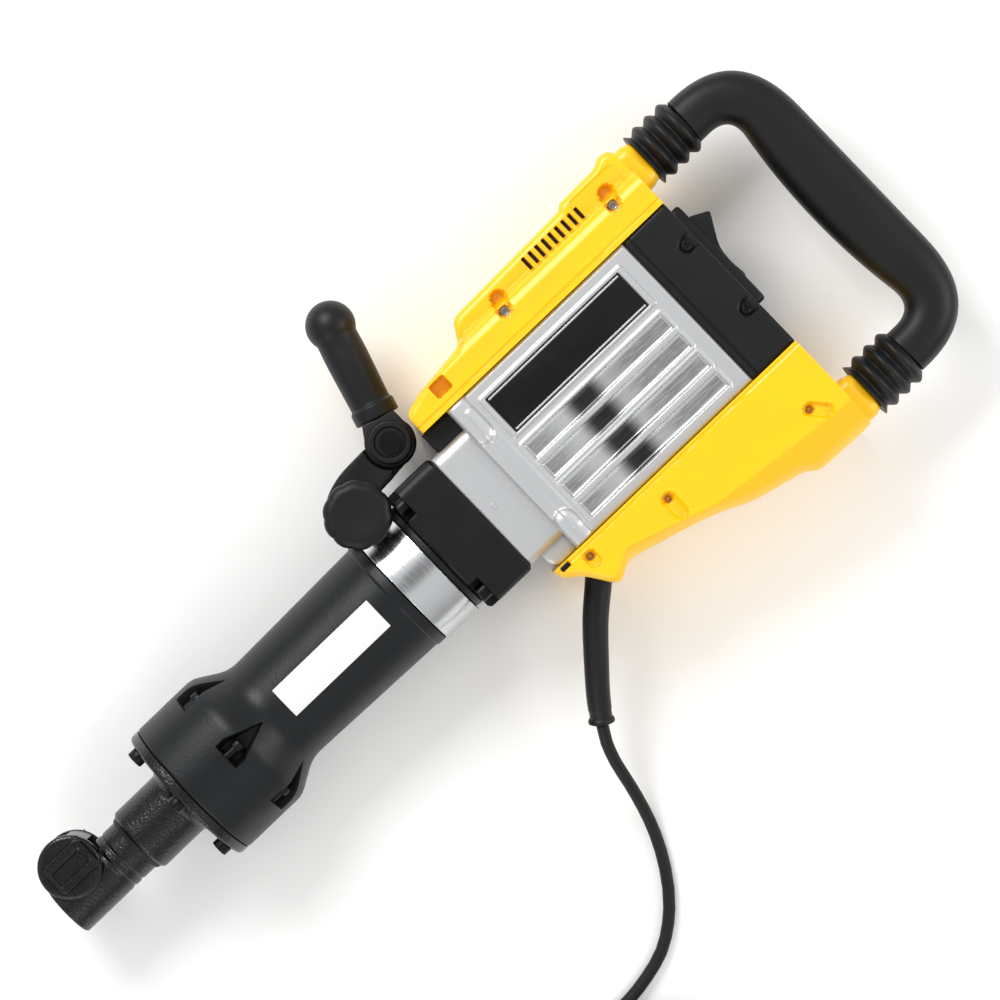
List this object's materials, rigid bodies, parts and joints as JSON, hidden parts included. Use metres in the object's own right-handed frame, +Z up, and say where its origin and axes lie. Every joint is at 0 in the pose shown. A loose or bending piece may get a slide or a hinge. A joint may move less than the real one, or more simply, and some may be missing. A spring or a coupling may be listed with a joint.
{
  "type": "demolition hammer",
  "caption": "Electric demolition hammer with a hex tool socket, clamped side grip, finned motor housing, D-handle on bellows, rocker switch and mains cord.",
  "frame": {"origin": "on the surface that the tool lies on, below the middle of its length and width, without the cord", "axes": "+X from the tool socket towards the D-handle along the tool axis, +Y towards the side grip, +Z up, square to the side that the tool lies on"},
  "size_m": [0.7659, 0.7025, 0.1254],
  "materials": {
    "yellow_housing": "moulded, satin",
    "cast_aluminium": "as cast, fine grain",
    "black_plastic": "moulded, fine texture",
    "rubber": "matt moulded",
    "dark_casting": "satin enamel",
    "gloss_black_casting": "glossy black coated",
    "stainless": "bright rolled",
    "steel": "machined or blackened",
    "copper_parts": "wound copper"
  },
  "bodies": {
    "root": {"barrel": "dark_casting", "beat_piece_guide": "steel", "bellows_lower": "rubber", "bellows_upper": "rubber", "bottom_cover": "yellow_housing", "brush_holder_front": "copper_parts", "brush_holder_rear": "copper_parts", "control_module": "black_plastic", "cord_boot": "rubber", "cord_coil": "rubber", "cord_tail": "rubber", "cord_tube": "rubber", "crank_bearing": "steel", "crankcase_cap": "black_plastic", "crankcase_neck": "cast_aluminium", "cylinder_sleeve": "steel", "front_screw_1": "steel", "front_screw_2": "steel", "front_screw_3": "steel", "front_screw_4": "steel", "front_screw_5": "steel", "front_screw_6": "steel", "front_seal": "rubber", "gear_plate": "cast_aluminium", "gearbox_block": "black_plastic", "motor_bearing": "steel", "motor_housing": "cast_aluminium", "nose_housing": "dark_casting", "plug_body": "rubber", "plug_contacts": "steel", "rear_housing": "black_plastic", "stator": "steel", "switch_bezel": "black_plastic", "switch_body": "black_plastic", "tool_holder": "gloss_black_casting", "top_cover": "yellow_housing"},
    "retainer": {"retainer_lever": "gloss_black_casting", "retainer_pin": "steel"},
    "beat_piece": {"beat_piece": "steel"},
    "striker": {"striker": "steel", "striker_ring": "rubber"},
    "piston": {"piston": "steel", "wrist_pin": "steel"},
    "connecting_rod": {"connecting_rod": "steel"},
    "crank": {"crank_gear": "steel"},
    "intermediate": {"intermediate_gear": "steel"},
    "rotor": {"armature": "copper_parts", "cooling_fan": "black_plastic"},
    "rocker": {"rocker_switch": "black_plastic"},
    "rear_handle": {"rear_handle": "rubber", "slide_rod_upper": "steel", "slide_rod_lower": "steel"},
    "side_clamp": {"clamp_band": "stainless", "clamp_bolt": "steel", "handle_bracket": "black_plastic", "grip_pivot": "steel"},
    "clamp_knob": {"clamp_knob": "black_plastic"},
    "side_grip": {"side_grip": "rubber"}
  },
  "joints": [
    {"name": "retainer_turn", "type": "hinge", "parent": "root", "child": "retainer", "pos_m": [-0.358, 0.0018, 0.0627], "axis": [0, 0, 1], "range_deg": [0, 112]},
    {"name": "beat_piece_slide", "type": "slide", "parent": "root", "child": "beat_piece", "axis": [-1, 0, 0], "range_m": [0, 0.008]},
    {"name": "striker_slide", "type": "slide", "parent": "root", "child": "striker", "axis": [-1, 0, 0], "range_m": [0, 0.018]},
    {"name": "piston_slide", "type": "slide", "parent": "root", "child": "piston", "axis": [-1, 0, 0], "range_m": [0, 0.036]},
    {"name": "connecting_rod_swing", "type": "hinge", "parent": "piston", "child": "connecting_rod", "pos_m": [-0.036, -0.0182, 0.0627], "axis": [0, 1, 0], "range_deg": [-9, 9]},
    {"name": "armature_spin", "type": "hinge", "parent": "root", "child": "rotor", "pos_m": [0.135, -0.05, 0.0627], "axis": [0, 1, 0], "continuous": true},
    {"name": "intermediate_spin", "type": "hinge", "parent": "root", "child": "intermediate", "pos_m": [0.1018, 0, 0.0627], "axis": [0, 1, 0], "continuous": true},
    {"name": "crank_spin", "type": "hinge", "parent": "root", "child": "crank", "pos_m": [0.0611, 0, 0.0627], "axis": [0, 1, 0], "continuous": true},
    {"name": "rocker_tilt", "type": "hinge", "parent": "root", "child": "rocker", "pos_m": [0.2618, -0.0028, 0.0627], "axis": [0, 0, 1], "range_deg": [0, 16]},
    {"name": "rear_handle_slide", "type": "slide", "parent": "root", "child": "rear_handle", "axis": [-1, 0, 0], "range_m": [0, 0.008], "stiffness_N_per_m": 12000, "deforming": ["bellows_upper", "bellows_lower"]},
    {"name": "side_handle_turn", "type": "hinge", "parent": "root", "child": "side_clamp", "pos_m": [-0.041, -0.0182, 0.0627], "axis": [1, 0, 0], "range_deg": [-15, 15]},
    {"name": "clamp_knob_turn", "type": "hinge", "parent": "side_clamp", "child": "clamp_knob", "pos_m": [-0.041, 0.0399, 0.0627], "axis": [0, 0, 1], "continuous": true},
    {"name": "side_grip_swing", "type": "hinge", "parent": "side_clamp", "child": "side_grip", "pos_m": [0.01, 0.0618, 0.0627], "axis": [0, 0, 1], "range_deg": [-12, 22]}
  ],
  "couplings": [
    {"joint": "intermediate_spin", "follows": "armature_spin", "ratio": -0.29412},
    {"joint": "crank_spin", "follows": "armature_spin", "ratio": 0.10294}
  ]
}
